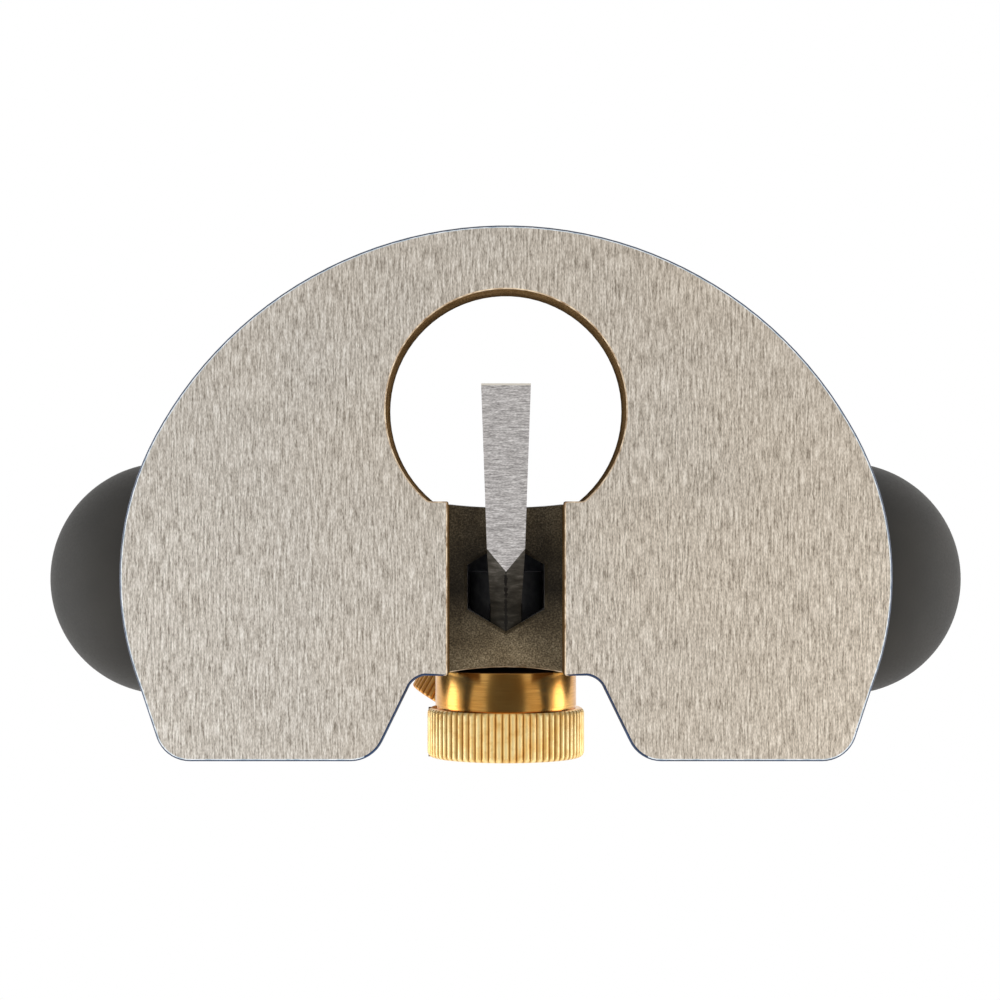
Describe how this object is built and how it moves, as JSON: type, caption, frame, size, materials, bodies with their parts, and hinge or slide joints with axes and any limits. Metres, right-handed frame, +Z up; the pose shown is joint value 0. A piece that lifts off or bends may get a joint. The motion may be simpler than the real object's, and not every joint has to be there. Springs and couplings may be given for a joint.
{
  "type": "hand router plane",
  "caption": "Hand router plane: D-shaped casting with an open throat, bridge-held cutter on a hexagonal shank, brass clamp nut, depth wheel and ball knobs.",
  "frame": {"origin": "middle of the whole plane's footprint, on the plane of the sole", "axes": "+Z up off the sole, +Y towards the rounded front past the throat, X across the two knobs"},
  "size_m": [0.251, 0.1377, 0.0937],
  "materials": {
    "casting": "navy paint over ductile iron, the sole and the throat bare",
    "tool_steel": "ground",
    "black_steel": "black oxide",
    "plain_steel": "plain",
    "brass": "turned and knurled",
    "soft_brass": "plain",
    "knob": "satin charcoal"
  },
  "bodies": {
    "body": {"body_casting": "casting", "left_knob": "knob", "right_knob": "knob", "knob_studs": "black_steel", "knob_washers": "plain_steel", "knob_nuts": "brass", "depth_stud": "black_steel", "stud_jam_nut": "black_steel", "stud_cap": "brass"},
    "cutter": {"cutter": "tool_steel"},
    "wheel": {"depth_wheel": "brass"},
    "eyebolt": {"clamp_eyebolt": "black_steel"},
    "nut": {"clamp_nut": "brass"},
    "stop_nut": {"depth_stop_nut": "brass"},
    "pad": {"lock_pad": "soft_brass"},
    "lock_screw": {"lock_screw_head": "brass", "lock_screw_shaft": "black_steel"}
  },
  "joints": [
    {"name": "cutter_slide", "type": "slide", "parent": "body", "child": "cutter", "axis": [0, 0, 1], "range_m": [-0.012, 0.004]},
    {"name": "wheel_spin", "type": "hinge", "parent": "cutter", "child": "wheel", "pos_m": [0, -0.01458, 0.0784], "axis": [0, 0, 1], "range_deg": [-3456.01, 1152.01]},
    {"name": "nut_spin", "type": "hinge", "parent": "body", "child": "nut", "pos_m": [0, -0.05, 0.027], "axis": [0, -1, 0], "range_deg": [0, 345.61]},
    {"name": "eyebolt_slide", "type": "slide", "parent": "body", "child": "eyebolt", "axis": [0, 1, 0], "range_m": [0, 0.0012]},
    {"name": "stop_nut_travel", "type": "slide", "parent": "body", "child": "stop_nut", "axis": [0, 0, 1], "range_m": [-0.004, 0.0028]},
    {"name": "pad_slide", "type": "slide", "parent": "body", "child": "pad", "axis": [0.5, -0.866, 0], "range_m": [0, 0.0015]},
    {"name": "lock_screw_spin", "type": "hinge", "parent": "pad", "child": "lock_screw", "pos_m": [0.01, -0.0477, 0.058], "axis": [0.5, -0.866, 0], "range_deg": [0, 540.01]}
  ],
  "couplings": [
    {"joint": "wheel_spin", "follows": "cutter_slide", "rad_per_m": 5026.5},
    {"joint": "nut_spin", "follows": "eyebolt_slide", "rad_per_m": 5026.5},
    {"joint": "lock_screw_spin", "follows": "pad_slide", "rad_per_m": 6283.2}
  ]
}
